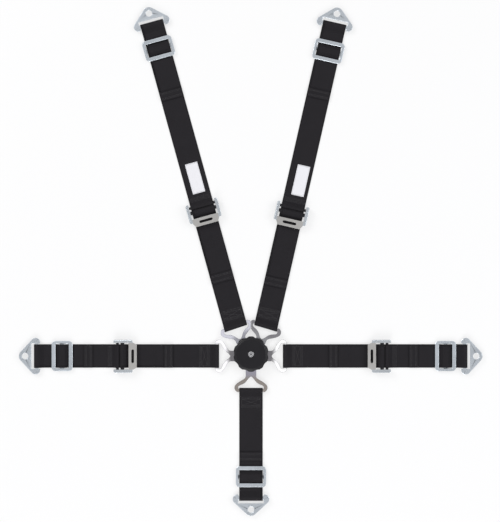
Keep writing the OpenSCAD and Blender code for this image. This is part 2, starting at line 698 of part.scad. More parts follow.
end_plate(RL);  // right_lap_end_plate
end_plate(CR);  // crotch_end_plate
label(LS);  // left_shoulder_label
label(RS);  // right_shoulder_label
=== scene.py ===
"""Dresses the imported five-point racing harness: webbing, stitching, labels, metal and studio."""

import json
import logging
import math
from collections.abc import Sequence
from dataclasses import dataclass, field
from enum import Enum
from typing import Any

import bmesh
import bpy
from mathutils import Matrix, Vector


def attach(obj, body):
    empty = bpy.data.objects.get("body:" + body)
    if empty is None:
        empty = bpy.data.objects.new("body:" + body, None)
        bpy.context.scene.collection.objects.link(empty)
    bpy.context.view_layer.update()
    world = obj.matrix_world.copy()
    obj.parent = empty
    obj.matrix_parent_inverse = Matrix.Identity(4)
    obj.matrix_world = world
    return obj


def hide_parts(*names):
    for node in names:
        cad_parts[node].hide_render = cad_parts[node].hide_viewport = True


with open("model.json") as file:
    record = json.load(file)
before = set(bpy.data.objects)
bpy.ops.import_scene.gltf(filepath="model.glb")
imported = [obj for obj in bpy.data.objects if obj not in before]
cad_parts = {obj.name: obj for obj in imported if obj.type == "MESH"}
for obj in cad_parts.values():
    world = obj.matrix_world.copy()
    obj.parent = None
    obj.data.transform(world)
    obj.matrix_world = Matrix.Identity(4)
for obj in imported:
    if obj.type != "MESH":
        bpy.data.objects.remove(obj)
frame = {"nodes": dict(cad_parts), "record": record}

LOG = logging.getLogger("harness")
MM = 0.001
WEB_W = 50.0  # width of every belt, mm
WEB_T = 1.3  # one layer of webbing, mm
SLOPE = math.radians(35)  # slope at which a belt leaves a bar
FOLD_FOLLOWS = 0.55  # share of a tongue's slant that its slack fold takes up
SEAM = 22.0  # half the length of a row of stitches across a belt, mm
THREAD_UP = 0.1  # height of the thread's middle above the face it is sewn to, mm
CREASE_H = 0.55  # height of a storage crease, mm
DRAWN = 0.28  # how far the folds at the lock bar and cross pin are drawn together, mm
SEWN_TO = 38.0  # end of the part sewn back round a tongue's bar, mm
CROSS_SEWN = 20.0  # the same at the cross pin, mm
LABEL_T = 0.55  # thickness of a label, mm
SLIDE_RISE = 6.25  # height the webbing climbs over a slide's middle bar, mm
SLIDE_CLIMB = 8.5  # distance from a slide's middle to the middle of each climb, mm
SLIDE_SLOPE = math.radians(40)  # steepness of the climb
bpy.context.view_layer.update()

Point = tuple[float, float]


class Fold(Enum):
    """Which side of a bar a belt is folded round."""

    NEAR = -1
    FAR = 1


class Weave(Enum):
    """How a woven surface is patterned."""

    HERRINGBONE = "herringbone"
    SATIN = "satin"


# ---------------------------------------------------------------- materials


@dataclass
class Tree:
    """A material's node tree, built from short calls."""

    name: str
    material: bpy.types.Material = field(init=False)

    def __post_init__(self) -> None:
        """Starts an empty tree with its output and shader."""
        self.material = bpy.data.materials.new(self.name)
        self.material.use_nodes = True
        nodes = self.material.node_tree.nodes
        nodes.clear()
        self.out = nodes.new("ShaderNodeOutputMaterial")
        self.shader = nodes.new("ShaderNodeBsdfPrincipled")
        self.link(self.shader.outputs[0], self.out.inputs[0])

    def node(self, kind: str, **settings: Any) -> bpy.types.Node:
        """Adds a node.

        Args:
            kind: Node type without its ShaderNode prefix.
            settings: Node properties, or sockets where the key names one.

        Returns:
            The new node.
        """
        made = self.material.node_tree.nodes.new("ShaderNode" + kind)
        for key, value in settings.items():
            if hasattr(made, key):
                setattr(made, key, value)
            else:
                made.inputs[key.replace("_", " ")].default_value = value
        return made

    def link(self, source: Any, target: Any) -> None:
        """Joins two sockets."""
        self.material.node_tree.links.new(source, target)

    def math(self, op: str, a: Any, b: Any = 0.0, c: Any = None) -> Any:
        """Adds a math node.

        Args:
            op: Operation name.
            a: First value or socket.
            b: Second value or socket.
            c: Third value or socket, where the operation has one.

        Returns:
            The result's socket.
        """
        made = self.node("Math", operation=op)
        for socket, value in zip(made.inputs, (a, b, c), strict=False):
            if value is None:
                continue
            if isinstance(value, (int, float)):
                socket.default_value = value
            else:
                self.link(value, socket)
        return made.outputs[0]

    def noise(self, scale: float, detail: float = 3.0, stretch: Sequence[float] = (1, 1, 1)) -> Any:
        """Adds noise in object space.

        Args:
            scale: Noise scale, per metre.
            detail: Octaves.
            stretch: Scale along each axis.

        Returns:
            The factor socket.
        """
        place = self.node("TexCoord")
        mapping = self.node("Mapping")
        mapping.inputs["Scale"].default_value = stretch
        self.link(place.outputs["Object"], mapping.inputs["Vector"])
        made = self.node("TexNoise", Scale=scale, Detail=detail)
        self.link(mapping.outputs[0], made.inputs["Vector"])
        return made.outputs[0]

    def ramp(self, source: Any, low: float, high: float) -> Any:
        """Maps a 0 to 1 socket to another range.

        Args:
            source: The socket.
            low: Value at 0.
            high: Value at 1.

        Returns:
            The result's socket.
        """
        made = self.node("MapRange", To_Min=low, To_Max=high)
        self.link(source, made.inputs[0])
        return made.outputs[0]

    def mix(self, factor: Any, a: Sequence[float], b: Sequence[float]) -> Any:
        """Mixes two colours.

        Args:
            factor: Socket from 0 to 1.
            a: Colour at 0.
            b: Colour at 1.

        Returns:
            The colour's socket.
        """
        made = self.node("Mix", data_type="RGBA")
        made.inputs[6].default_value = (*a, 1)
        made.inputs[7].default_value = (*b, 1)
        self.link(factor, made.inputs[0])
        return made.outputs[2]

    def bump(self, height: Any, distance: float, strength: float = 1.0) -> None:
        """Feeds a height socket to the shader's normal, chained on any bump before it.

        Args:
            height: The height's socket.
            distance: Height of the relief, in metres.
            strength: Its strength.
        """
        made = self.node("Bump", Distance=distance, Strength=strength)
        self.link(height, made.inputs["Height"])
        before = self.shader.inputs["Normal"].links
        if before:
            self.link(before[0].from_socket, made.inputs["Normal"])
        self.link(made.outputs[0], self.shader.inputs["Normal"])


@dataclass(frozen=True)
class WebbingFinish:
    """Woven polyester: a herringbone of warp yarns in panels along the belt."""

    name: str
    dark: tuple[float, float, float]
    light: tuple[float, float, float]
    weave: Weave = Weave.HERRINGBONE
    panel_mm: float = 10.0
    yarn_mm: float = 1.4
    relief_mm: float = 0.12

    def build(self) -> bpy.types.Material:
        """Makes the material; its UV map is in metres, across then along the belt."""
        tree = Tree(self.name)
        uv = tree.node("UVMap", uv_map="belt")
        split = tree.node("SeparateXYZ")
        tree.link(uv.outputs[0], split.inputs[0])
        across, along = split.outputs[0], split.outputs[1]
        panel = tree.math("PINGPONG", across, self.panel_mm * MM)
        if self.weave is Weave.HERRINGBONE:
            slant = tree.math("ADD", along, tree.math("MULTIPLY", panel, 0.8))
        else:
            slant = tree.math("ADD", along, tree.math("MULTIPLY", across, 0.3))
        yarn = tree.math("SINE", tree.math("MULTIPLY", slant, 2 * math.pi / (self.yarn_mm * MM)))
        rib = tree.math("SINE", tree.math("MULTIPLY", across, 2 * math.pi / (0.62 * MM)))
        yarn01 = tree.math("MULTIPLY_ADD", yarn, 0.5, 0.5)
        rib01 = tree.math("MULTIPLY_ADD", rib, 0.5, 0.5)
        height = tree.math("ADD", tree.math("MULTIPLY", yarn01, 0.7), tree.math("MULTIPLY", rib01, 0.3))
        wear = tree.ramp(tree.noise(38.0, 4.0), 0.75, 1.2)
        # The belt's colour is darker towards its edges.
        edge = tree.math("ABSOLUTE", across)
        edge_darkening = tree.node("MapRange", From_Min=0.0205, From_Max=0.0245, To_Min=1.0, To_Max=0.62)
        tree.link(edge, edge_darkening.inputs[0])
        tone = tree.math("MULTIPLY", tree.math("MULTIPLY", height, wear), edge_darkening.outputs[0])
        tree.link(tree.mix(tone, self.dark, self.light), tree.shader.inputs["Base Color"])
        tree.shader.inputs["Roughness"].default_value = 0.72
        tree.shader.inputs["Specular IOR Level"].default_value = 0.16
        tree.shader.inputs["Sheen Weight"].default_value = 0.05
        tree.shader.inputs["Sheen Roughness"].default_value = 0.4
        tree.bump(height, self.relief_mm * MM, 0.6)
        tree.bump(tree.noise(260.0, 2.0), 0.05 * MM, 0.4)
        return tree.material


@dataclass(frozen=True)
class ThreadFinish:
    """Twisted sewing thread."""

    name: str
    colour: tuple[float, float, float]

    def build(self) -> bpy.types.Material:
        """Makes the material."""
        tree = Tree(self.name)
        fibre = tree.noise(2400.0, 2.0, (1, 1, 3))
        darker = tuple(0.6 * c for c in self.colour)
        tree.link(tree.mix(fibre, darker, self.colour), tree.shader.inputs["Base Color"])
        tree.shader.inputs["Roughness"].default_value = 0.6
        tree.shader.inputs["Sheen Weight"].default_value = 0.2
        tree.bump(fibre, 0.08 * MM, 0.7)
        return tree.material


@dataclass(frozen=True)
class MetalFinish:
    """Plated or brushed metal with a grain and fine scratches."""

    name: str
    colour: tuple[float, float, float]
    roughness: float
    grain: tuple[float, float, float] = (1, 1, 1)
    grain_scale: float = 600.0
    relief_mm: float = 0.01
    cloud: float = 0.12

    def build(self) -> bpy.types.Material:
        """Makes the material."""
        tree = Tree(self.name)
        grain = tree.noise(self.grain_scale, 3.0, self.grain)
        cloud = tree.noise(22.0, 2.0)
        mixed = tree.math("ADD", tree.math("MULTIPLY", grain, 0.4), tree.math("MULTIPLY", cloud, 0.6))
        low = tuple(c * (1 - self.cloud) for c in self.colour)
        high = tuple(min(1.0, c * (1 + self.cloud)) for c in self.colour)
        tree.link(tree.mix(mixed, low, high), tree.shader.inputs["Base Color"])
        tree.shader.inputs["Metallic"].default_value = 1.0
        spread = tree.ramp(mixed, self.roughness * 0.8, min(1.0, self.roughness * 1.25))
        tree.link(spread, tree.shader.inputs["Roughness"])
        tree.bump(grain, self.relief_mm * MM, 0.5)
        return tree.material


@dataclass(frozen=True)
class TongueFinish:
    """Chromed forging with painted light: fork arms painted bright as glare, greyer shanks by the knob
    painted as shade and a painted dark reflection along the edges.
    """

    name: str
    arm_glare: tuple[float, float, float]
    shank_shade: tuple[float, float, float]
    metallic: float = 1.0
    shank_mm: float = 50.0

    def build(self) -> bpy.types.Material:
        """Makes the material."""
        tree = Tree(self.name)
        place = tree.node("TexCoord")
        away = tree.node("VectorMath", operation="LENGTH")
        tree.link(place.outputs["Object"], away.inputs[0])
        out = tree.node("MapRange", From_Min=(self.shank_mm - 5) * MM, From_Max=(self.shank_mm + 5) * MM)
        tree.link(away.outputs["Value"], out.inputs[0])
        cloud = tree.noise(30.0, 3.0)
        edge = self.edge(tree)
        # The arms' chrome colour is brightened as painted glare; the greyer colour nearer the knob is
        # painted shade.
        arm_glare = tree.mix(cloud, tuple(0.9 * c for c in self.arm_glare), self.arm_glare)
        shank_shade = tree.mix(cloud, tuple(0.85 * c for c in self.shank_shade), self.shank_shade)
        both = self.blend(tree, out.outputs[0], shank_shade, arm_glare)
        # Painted dark reflection along the edges, standing in for the dark horizon mirrored in the chrome.
        dark = tree.mix(cloud, tuple(0.3 * c for c in self.shank_shade), tuple(0.45 * c for c in self.shank_shade))
        tree.link(self.blend(tree, edge, both, dark), tree.shader.inputs["Base Color"])
        # A lower metallic on the arms paints them white as glare.
        if self.metallic < 1:
            tree.link(tree.ramp(out.outputs[0], 1.0, self.metallic), tree.shader.inputs["Metallic"])
        else:
            tree.shader.inputs["Metallic"].default_value = 1.0
        tree.link(tree.ramp(cloud, 0.14, 0.24), tree.shader.inputs["Roughness"])
        tree.bump(tree.noise(600.0, 3.0), 0.006 * MM, 0.5)
        return tree.material

    @staticmethod
    def edge(tree: Tree) -> Any:
        """Masks a band about a millimetre wide along the edges, where a dark reflection is painted.

        Args:
            tree: Node helper.

        Returns:
            The mask's socket.
        """
        soft = tree.node("Bevel")
        soft.inputs["Radius"].default_value = 1.8 * MM
        flat = tree.node("NewGeometry")
        turn = tree.node("VectorMath", operation="DOT_PRODUCT")
        tree.link(soft.outputs[0], turn.inputs[0])
        tree.link(flat.outputs["True Normal"], turn.inputs[1])
        mask = tree.node("MapRange", From_Min=0.995, From_Max=0.9)
        tree.link(turn.outputs["Value"], mask.inputs[0])
        return mask.outputs[0]

    @staticmethod
    def blend(tree: Tree, factor: Any, low: Any, high: Any) -> Any:
        """Mixes two colour sockets.

        Args:
            tree: Node helper.
            factor: Socket from 0 to 1.
            low: Colour at 0.
            high: Colour at 1.

        Returns:
            The mixed colour's socket.
        """
        both = tree.node("Mix", data_type="RGBA")
        tree.link(factor, both.inputs[0])
        tree.link(low, both.inputs[6])
        tree.link(high, both.inputs[7])
        return both.outputs[2]


@dataclass(frozen=True)
class AdjusterFinish:
    """Brushed steel across the lever plate; the turned-out side flanges are painted bright bluish as a
    highlight.
    """

    name: str
    lever: tuple[float, float, float]
    flange_highlight: tuple[float, float, float]

    def build(self, origin: Vector, side: Vector, flange_mm: float) -> bpy.types.Material:
        """Makes the material for one belt.

        Args:
            origin: A point on the belt's middle line.
            side: Direction across the belt.
            flange_mm: Distance from the middle line where the flanges begin.

        Returns:
            The material.
        """
        tree = Tree(self.name)
        place = tree.node("TexCoord")
        dot = tree.node("VectorMath", operation="DOT_PRODUCT")
        tree.link(place.outputs["Object"], dot.inputs[0])
        dot.inputs[1].default_value = side
        off = tree.math("ABSOLUTE", tree.math("SUBTRACT", dot.outputs["Value"], origin.dot(side)))
        turned = tree.node("MapRange", From_Min=(flange_mm - 0.6) * MM, From_Max=(flange_mm + 0.6) * MM)
        tree.link(off, turned.inputs[0])
        grain = tree.math("SINE", tree.math("MULTIPLY_ADD", off, 2 * math.pi / (0.7 * MM),
                                            tree.math("MULTIPLY", tree.noise(240.0), 9.0)))
        cloud = tree.noise(26.0, 3.0)
        lever = tree.mix(cloud, tuple(0.86 * c for c in self.lever), self.lever)
        # Painted highlight: the flanges' bright bluish colour stands in for the glare on their curved faces.
        flange_highlight = tree.mix(cloud, tuple(0.8 * c for c in self.flange_highlight), self.flange_highlight)
        both = tree.node("Mix", data_type="RGBA")
        tree.link(turned.outputs[0], both.inputs[0])
        tree.link(lever, both.inputs[6])
        tree.link(flange_highlight, both.inputs[7])
        tree.link(both.outputs[2], tree.shader.inputs["Base Color"])
        tree.shader.inputs["Metallic"].default_value = 1.0
        rough = tree.ramp(turned.outputs[0], 0.36, 0.2)
        uneven = tree.math("MULTIPLY", cloud, 0.06)
        tree.link(tree.math("ADD", rough, uneven), tree.shader.inputs["Roughness"])
        tree.bump(grain, 0.012 * MM, 0.4)
        return tree.material


@dataclass(frozen=True)
class SocketFinish:
    """Bright screw whose driving socket is painted near black inside as shade."""

    name: str
    colour: tuple[float, float, float]
    socket_mm: float = 1.78

    def build(self) -> bpy.types.Material:
        """Makes the material; the screw stands on the Z axis."""
        tree = Tree(self.name)
        place = tree.node("TexCoord")
        flat = tree.node("VectorMath", operation="MULTIPLY")
        flat.inputs[1].default_value = (1, 1, 0)
        tree.link(place.outputs["Object"], flat.inputs[0])
        reach = tree.node("VectorMath", operation="LENGTH")
        tree.link(flat.outputs[0], reach.inputs[0])
        # Painted shade: inside the socket's radius the colour is near black and not metallic.
        inside = tree.math("LESS_THAN", reach.outputs["Value"], self.socket_mm * MM)
        tree.link(tree.mix(inside, self.colour, (0.03, 0.03, 0.032)), tree.shader.inputs["Base Color"])
        tree.link(tree.math("SUBTRACT", 1.0, inside), tree.shader.inputs["Metallic"])
        rings = tree.math("SINE", tree.math("MULTIPLY", reach.outputs["Value"], 2 * math.pi / (0.25 * MM)))
        tree.link(tree.ramp(tree.noise(900.0), 0.2, 0.34), tree.shader.inputs["Roughness"])
        tree.bump(rings, 0.006 * MM, 0.5)
        return tree.material


@dataclass(frozen=True)
class MouldedFinish:
    """Satin black moulding or coating with a fine grain."""

    name: str
    colour: tuple[float, float, float]
    roughness: float = 0.42
    gloss: float = 0.25

    def build(self) -> bpy.types.Material:
        """Makes the material."""
        tree = Tree(self.name)
        grain = tree.noise(1500.0, 2.0)
        cloud = tree.noise(30.0, 3.0)
        low = tuple(0.82 * c for c in self.colour)
        tree.link(tree.mix(cloud, low, self.colour), tree.shader.inputs["Base Color"])
        spread = tree.ramp(cloud, self.roughness * 0.85, self.roughness * 1.2)
        tree.link(spread, tree.shader.inputs["Roughness"])
        tree.shader.inputs["Specular IOR Level"].default_value = self.gloss
        tree.bump(grain, 0.02 * MM, 0.35)
        return tree.material


@dataclass(frozen=True)
class FloorFinish:
    """Plain pale studio floor that hardly takes a shadow."""

    name: str = "floor_pale"
    glow: float = 0.6
    level: float = 0.3

    def build(self) -> bpy.types.Material:
        """Makes the material."""
        tree = Tree(self.name)
        tree.shader.inputs["Base Color"].default_value = (self.level, self.level, self.level, 1)
        tree.shader.inputs["Roughness"].default_value = 1.0
        tree.shader.inputs["Specular IOR Level"].default_value = 0.0
        tree.shader.inputs["Emission Color"].default_value = (1, 1, 1, 1)
        tree.shader.inputs["Emission Strength"].default_value = self.glow
        return tree.material


@dataclass(frozen=True)
class Palette:
    """Every material of the harness, built once."""

    webbing: bpy.types.Material
    thread: bpy.types.Material
    label: bpy.types.Material
    label_edge: bpy.types.Material
    knob: bpy.types.Material
    body: bpy.types.Material
    centre: bpy.types.Material
    screw: bpy.types.Material
    tongues: dict[str, bpy.types.Material]
    zinc: bpy.types.Material
    adjuster: AdjusterFinish
    bar: bpy.types.Material
    inner: bpy.types.Material

    @classmethod
    def make(cls) -> "Palette":
        """Builds the whole set."""
        # Tongue colours are painted light on one chrome: the arms painted bright as glare (white and barely
        # metallic on the lap tongues), the shanks painted greyer as shade; grey is the lap tongues' painted
        # shade.
        grey = (0.33, 0.32, 0.335)
        tongues = {
            "left_shoulder": ((0.88, 0.88, 0.97), (0.6, 0.6, 0.66), 0.75),
            "right_shoulder": ((0.4, 0.39, 0.41), (0.5, 0.5, 0.52), 1.0),
            "left_lap": ((0.93, 0.92, 0.94), grey, 0.12),
            "right_lap": ((0.93, 0.93, 0.93), grey, 0.12),
            "crotch": ((0.5, 0.45, 0.41), (0.57, 0.55, 0.63), 1.0),
        }
        return cls(
            webbing=WebbingFinish("webbing_black", (0.004, 0.0036, 0.0046), (0.018, 0.0162, 0.0195)).build(),
            thread=ThreadFinish("thread_black", (0.022, 0.02, 0.024)).build(),
            label=WebbingFinish("label_white", (0.6, 0.6, 0.625), (0.76, 0.76, 0.785), Weave.SATIN,
                                yarn_mm=0.5, relief_mm=0.03).build(),
            label_edge=ThreadFinish("thread_grey", (0.5, 0.5, 0.53)).build(),
            knob=MouldedFinish("knob_satin_black", (0.006, 0.0055, 0.0075), 0.36, 0.3).build(),
            body=MouldedFinish("body_black_coat", (0.014, 0.014, 0.016), 0.5).build(),
            centre=MetalFinish("centre_bright", (0.5, 0.5, 0.51), 0.22).build(),
            screw=SocketFinish("screw_bright", (0.62, 0.62, 0.63)).build(),
            tongues={k: TongueFinish("tongue_chrome_glare_" + k, *v).build() for k, v in tongues.items()},
            zinc=MetalFinish("zinc_blue_silver", (0.66, 0.71, 0.755), 0.27, cloud=0.2).build(),
            # The adjuster's second colour is the flanges' painted highlight.
            adjuster=AdjusterFinish("adjuster_brushed", (0.56, 0.55, 0.53), (0.78, 0.83, 0.87)),
            # Painted shade: the lock bars and cross pins are coloured near black for the shade in the gaps
            # between the webbing loops; the buckle's springs share this colour.
            bar=MetalFinish("bar_dark_painted_shade", (0.035, 0.035, 0.038), 0.5).build(),
            inner=MetalFinish("inner_machined", (0.55, 0.55, 0.56), 0.4).build(),
        )


# ---------------------------------------------------------------- belts


@dataclass(frozen=True)
class Belt:
    """One belt's own frame and stations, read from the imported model; lengths are in mm."""

    name: str
    origin: Vector
    heading: Vector
    skew: float
    bar_z: float
    end_s: float
    end_z: float
    lock_s: float | None
    lock_z: float
    cross_s: float | None
    cross_z: float
    tail_s: float | None
    return_s: float
    slide_s: float

    @property
    def fold_skew(self) -> float:
        """Slant of the tongue fold across the belt; the loop is slack, so it only half follows the bar."""
        return FOLD_FOLLOWS * self.skew

    @property
    def side(self) -> Vector:
        """Direction across the belt, to the left of its heading."""
        return Vector((-self.heading.y, self.heading.x, 0))

    def point(self, s: float, y: float, z: float) -> Vector:
        """Turns a station, an offset across and a height in mm into row coordinates in metres."""
        flat = self.origin + self.heading * (s * MM) + self.side * (y * MM)
        return Vector((flat.x, flat.y, z * MM))

    @classmethod
    def read(cls, name: str) -> "Belt":
        """Reads a belt from the joints and the CAD nodes.

        Args:
            name: Belt name, such as left_lap.

        Returns:
            The belt.
        """
        joints = {j["name"]: j for j in frame["record"]["behaviour"]["joints"]}
        simple = name == "crotch"
        swing = joints[name + ("_swing" if simple else "_inner_swing")]
        bar = Vector(swing["pos_m"])
        end = joints[name + "_end_swing"]
        end_at = Vector(end["pos_m"])
        axis = Vector(end["axis"])
        heading = Vector((axis.y, -axis.x, 0)).normalized()
        bar_axis = Vector(swing["axis"])
        tongue_heading = Vector((bar_axis.y, -bar_axis.x, 0)).normalized()
        skew = math.atan2(heading.cross(tongue_heading).z, heading.dot(tongue_heading))
        origin = Vector((bar.x, bar.y, 0))

        def station(p: Vector) -> float:
            """Distance of a point along the belt, in mm."""
            return (p - origin).dot(heading) / MM

        def span(node: str, low: float, high: float) -> tuple[float, float]:
            """First and last station of a node's points between two heights, in mm."""
            found = [station(Vector((v.co.x, v.co.y, 0))) for v in frame["nodes"][node].data.vertices
                     if low < v.co.z / MM < high]
            return min(found), max(found)

        web = "crotch_webbing" if simple else name + "_outer_webbing"
        top = 3 * WEB_T
        # The hem's top edge is the only part of the belt at three layers that spans its full length
        heights = [(station(Vector((v.co.x, v.co.y, 0))), v.co.z / MM)
                   for v in frame["nodes"][web].data.vertices]
        cross = None if simple else station(Vector(joints[name + "_outer_swing"]["pos_m"]))
        floor_s = 60.0 if simple else cross + 30
        hem = [s for s, z in heights if abs(z - top) < 0.02 and s > floor_s]
        slide = span(name + "_slide", -1, 99)
        lock = None if simple else Vector(joints[name + "_adjuster_tilt"]["pos_m"])
        return cls(
            name=name, origin=origin, heading=heading, skew=skew, bar_z=bar.z / MM,
            end_s=station(Vector((end_at.x, end_at.y, 0))), end_z=end_at.z / MM,
            lock_s=None if simple else station(Vector((lock.x, lock.y, 0))),
            lock_z=0.0 if simple else lock.z / MM,
            cross_s=cross, cross_z=0.0 if simple else joints[name + "_outer_swing"]["pos_m"][2] / MM,
            tail_s=None if simple else span(name + "_tail_webbing", -1, 99)[0],
            return_s=min(hem), slide_s=(slide[0] + slide[1]) / 2,
        )


def arc(centre: Point, radius: float, start: float, stop: float, steps: int = 22) -> list[Point]:
    """Points on an arc.

    Args:
        centre: Middle of the arc.
        radius: Its radius.
        start: First angle, in degrees.
        stop: Last angle, in degrees.
        steps: Number of chords.

    Returns:
        The points.
    """
    out = []
    for i in range(steps + 1):
        a = math.radians(start + (stop - start) * i / steps)
        out.append((centre[0] + radius * math.cos(a), centre[1] + radius * math.sin(a)))
    return out


def loop(centre: Point, radius: float, level: float, fold: Fold) -> list[Point]:
    """Layer round a bar, from under it, over it and down a slope to a level beyond.

    Args:
        centre: The bar's middle.
        radius: Distance of the layer's middle from it.
        level: Height that the layer comes down to.
        fold: Side of the bar that it is folded round.

    Returns:
        The layer's path.
    """
    top = (centre[0] + radius * math.sin(SLOPE), centre[1] + radius * math.cos(SLOPE))
    found = arc(centre, radius, 270, 90 - math.degrees(SLOPE), 34)
    found.append((top[0] + (top[1] - level) / math.tan(SLOPE), level))
    if fold is Fold.FAR:
        found = [(2 * centre[0] - x, z) for x, z in found]
    return found


def offset(path: Sequence[Point], distance: float) -> list[Point]:
    """Moves a path to its left.

    Args:
        path: The path.
        distance: How far it moves; negative is to the right.

    Returns:
        The moved path.
    """
    out = []
    for i, p in enumerate(path):
        before = path[max(i - 1, 0)]
        after = path[min(i + 1, len(path) - 1)]
        first = Vector((p[0] - before[0], p[1] - before[1])) if i else None
        last = Vector((after[0] - p[0], after[1] - p[1])) if i < len(path) - 1 else None
        a = (first or last).normalized()
        b = (last or first).normalized()
        na, nb = Vector((-a.y, a.x)), Vector((-b.y, b.x))
        m = (na + nb).normalized()
        m /= max(0.3, m.dot(na))
        out.append((p[0] + distance * m.x, p[1] + distance * m.y))
    return out


def rounded(path: Sequence[Point], radius: float = 2.6) -> list[Point]:
    """Turns a path's corners into short curves, as woven webbing bends.

    Args:
        path: The path.
        radius: Radius of the curves.

    Returns:
        The softened path.
    """
    out = [path[0]]
    for before, p, after in zip(path, path[1:], path[2:]):
        a = Vector(p) - Vector(before)
        b = Vector(after) - Vector(p)
        turn = a.angle(b, 0)
        if turn < math.radians(12):
            out.append(p)
            continue
        cut = min(radius * math.tan(turn / 2), 0.45 * a.length, 0.45 * b.length)
        start = Vector(p) - a.normalized() * cut
        stop = Vector(p) + b.normalized() * cut
        for i in range(6):
            t = i / 5
            q = start * (1 - t) ** 2 + Vector(p) * 2 * t * (1 - t) + stop * t**2
            out.append((q.x, q.y))
    out.append(path[-1])
    return out


def resampled(path: Sequence[Point], step: float) -> list[Point]:
    """Divides a path's long stretches.

    Args:
        path: The path.
        step: Longest piece allowed.

    Returns:
        The divided path, with no point twice in a row.
    """
    out = [path[0]]
    for a, b in zip(path, path[1:]):
        n = max(1, math.ceil(math.dist(a, b) / step))
        out += [(a[0] + (b[0] - a[0]) * i / n, a[1] + (b[1] - a[1]) * i / n) for i in range(1, n + 1)]
    return [p for i, p in enumerate(out) if i == 0 or math.dist(p, out[i - 1]) > 1e-4]


def over_slide(s: float) -> list[Point]:
    """Middle of the doubled webbing on its way over a slide's middle bar.

    Args:
        s: Station of the slide's middle.

    Returns:
        The path's four corners.
    """
    half = SLIDE_RISE / math.tan(SLIDE_SLOPE) / 2
    top = WEB_T + SLIDE_RISE
    return [(s - SLIDE_CLIMB - half, WEB_T), (s - SLIDE_CLIMB + half, top),
            (s + SLIDE_CLIMB - half, top), (s + SLIDE_CLIMB + half, WEB_T)]


@dataclass
class Strap:
    """A length of webbing swept along a path in its belt's side view."""

    belt: Belt
    name: str
    path: list[Point]
    skew_to: float = 0.0
    width: float = WEB_W
    thickness: float = WEB_T - 0.05
    shift: float = 0.0

    def profile(self) -> list[Point]:
        """Section of the webbing: flat faces with rounded, slightly thicker selvedges."""
        half, t = self.width / 2, self.thickness / 2
        edge = arc((half - t, 0), t, -90, 90, 6)
        inside = [(half - 1.6, t * 0.93), (half - 3.2, t)]
        top = inside + [(half * k, t) for k in (0.72, 0.5, 0.25, 0.0, -0.25, -0.5, -0.72)]
        right = edge + top
        left = [(-y, h) for y, h in reversed(inside)] + [(-y, h) for y, h in reversed(edge)]
        bottom = [(y, -h) for y, h in reversed(inside[::-1] + [(half * k, t) for k in
                                                              (0.72, 0.5, 0.25, 0.0, -0.25, -0.5, -0.72)]
                                               + [(-y, h) for y, h in reversed(inside)])]
        return right + left + bottom

    def build(self, material: bpy.types.Material) -> bpy.types.Object:
        """Makes the swept mesh with a UV map in metres.

        Args:
            material: Webbing material.

        Returns:
            The strap.
        """
        path = resampled(rounded(self.path), 5.0)
        section = self.profile()
        normals = []
        for i in range(len(path)):
            a, b = path[max(i - 1, 0)], path[min(i + 1, len(path) - 1)]
            d = Vector((b[0] - a[0], b[1] - a[1])).normalized()
            normals.append((-d.y, d.x))
        verts: list[Vector] = []
        uvs: list[Point] = []
        length = 0.0
        for i, ((s, z), (nx, nz)) in enumerate(zip(path, normals)):
            if i:
                length += math.dist(path[i - 1], path[i])
            for y, h in section:
                ss, y = s + nx * h, y + self.shift
                if self.skew_to:
                    w = min(1.0, max(0.0, (self.skew_to + 8 - s) / 8))
                    ss = ss / math.cos(self.belt.fold_skew * w) - y * math.tan(self.belt.fold_skew * w)
                verts.append(self.belt.point(ss, y, z + nz * h))
                uvs.append((y * MM, length * MM))
        m = len(section)
        faces = [[i * m + j, i * m + (j + 1) % m, (i + 1) * m + (j + 1) % m, (i + 1) * m + j]
                 for i in range(len(path) - 1) for j in range(m)]
        faces += [list(range(m))[::-1], [(len(path) - 1) * m + j for j in range(m)]]
        mesh = bpy.data.meshes.new(self.name)
        mesh.from_pydata([tuple(v) for v in verts], [], faces)
        layer = mesh.uv_layers.new(name="belt")
        for corner in mesh.loops:
            layer.data[corner.index].uv = uvs[corner.vertex_index]
        mesh.materials.append(material)
        mesh.validate()
        work = bmesh.new()
        work.from_mesh(mesh)
        bmesh.ops.recalc_face_normals(work, faces=work.faces)
        work.to_mesh(mesh)
        work.free()
        mesh.shade_smooth()
        made = bpy.data.objects.new(self.name, mesh)
        bpy.context.collection.objects.link(made)
        return made


